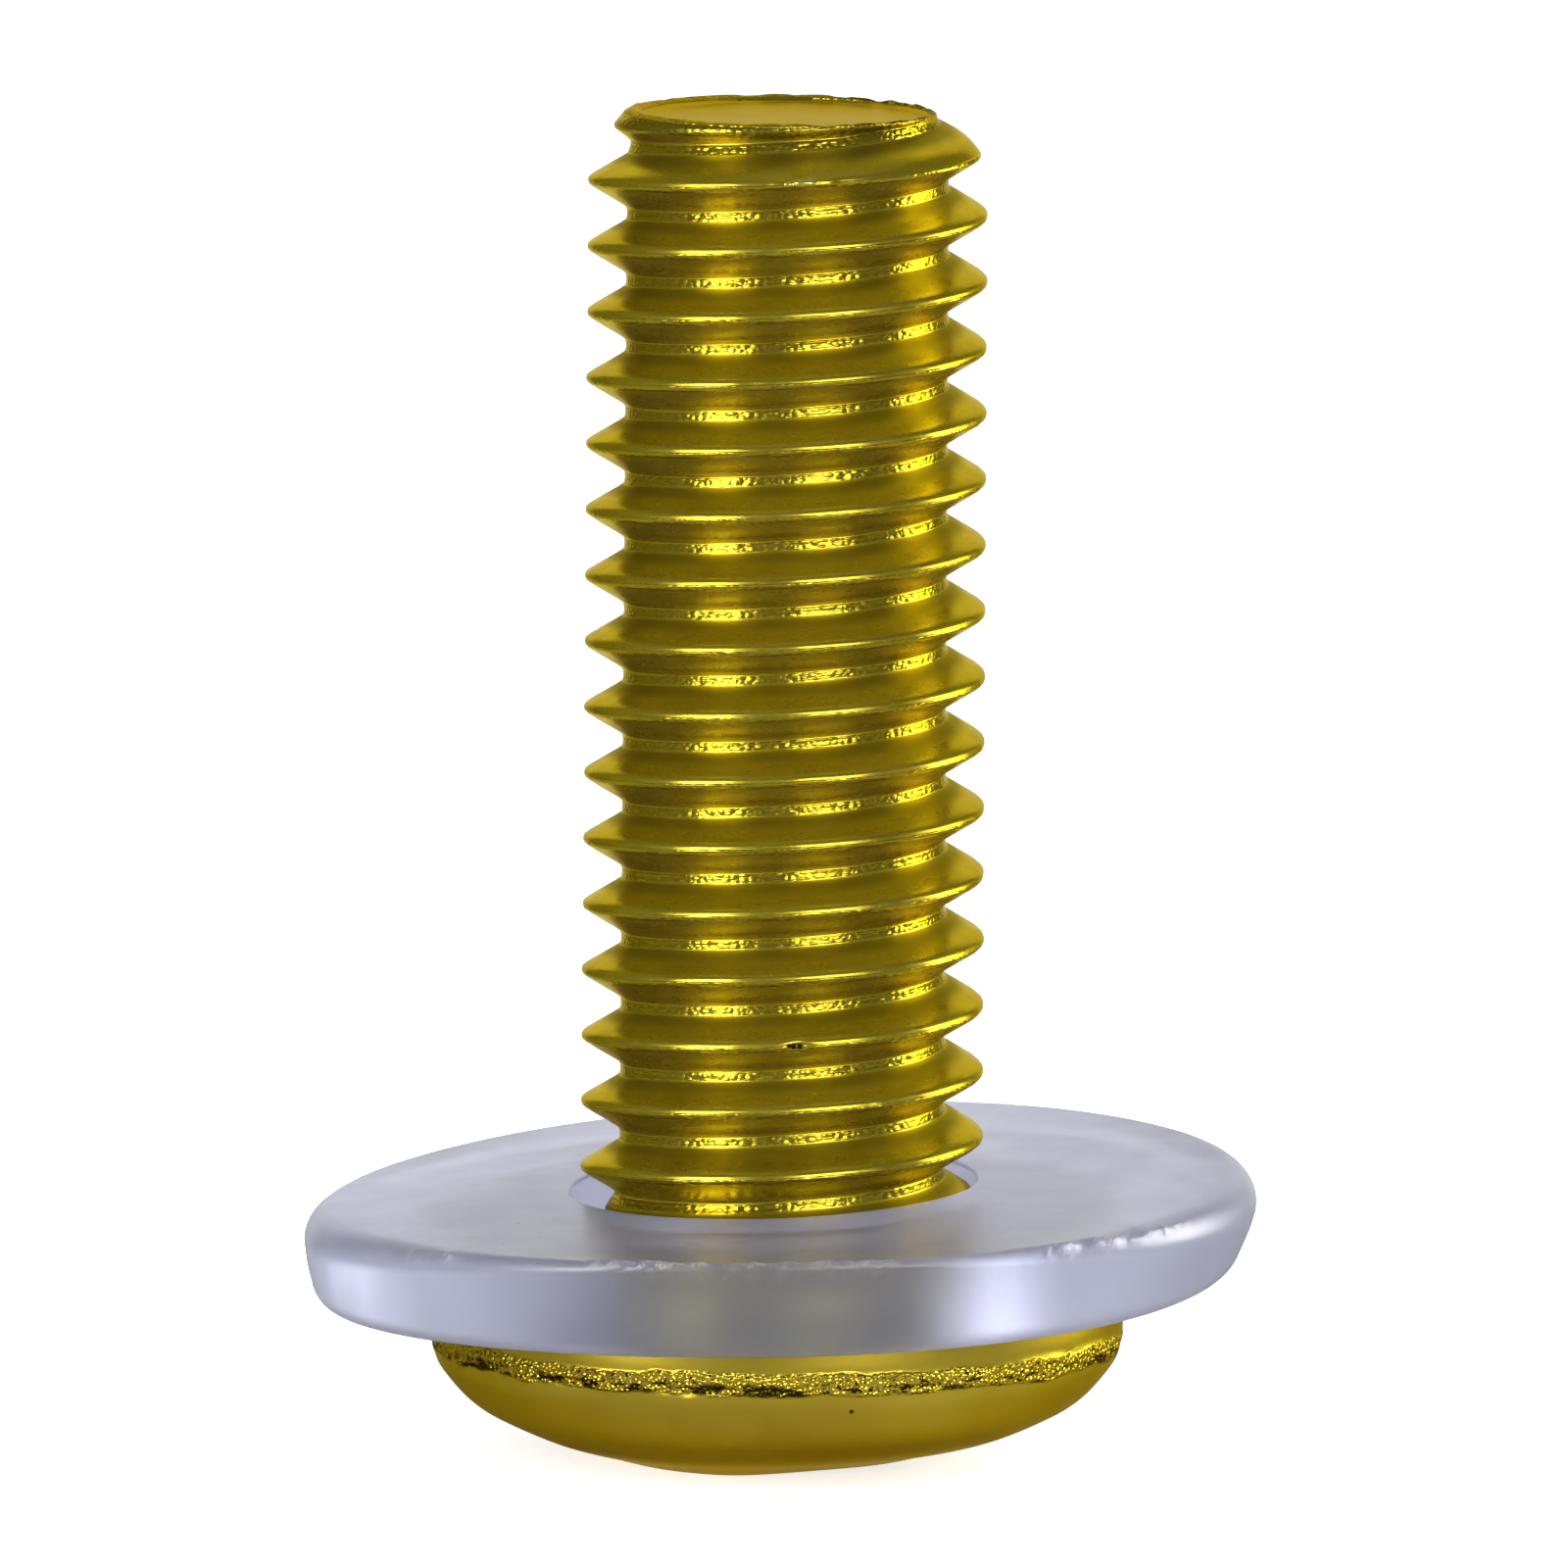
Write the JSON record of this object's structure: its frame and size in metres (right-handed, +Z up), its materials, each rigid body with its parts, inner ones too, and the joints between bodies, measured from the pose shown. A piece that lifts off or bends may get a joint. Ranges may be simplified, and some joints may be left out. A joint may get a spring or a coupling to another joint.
{
  "type": "machine screw",
  "caption": "Low domed-head machine screw with a hexagon socket and a full-length right-hand thread, stood on its head, with a loose plastic washer lying slightly askew on the head around the shank.",
  "frame": {"origin": "middle of the flat footing ring round the socket, on which the screw stands on its head", "axes": "+Z up along the shank, from the head to the tip; -Y towards the viewer of the picture; +X to the viewer's right"},
  "size_m": [0.0144, 0.0144, 0.0205],
  "materials": {
    "gold_metal": "bright olive-gold metal, finely scratched, with a rough band round the head",
    "washer_plastic": "satin lavender-grey nylon, slightly translucent, with rough punched edges"
  },
  "bodies": {
    "root": {"screw": "gold_metal", "washer": "washer_plastic"}
  },
  "joints": []
}
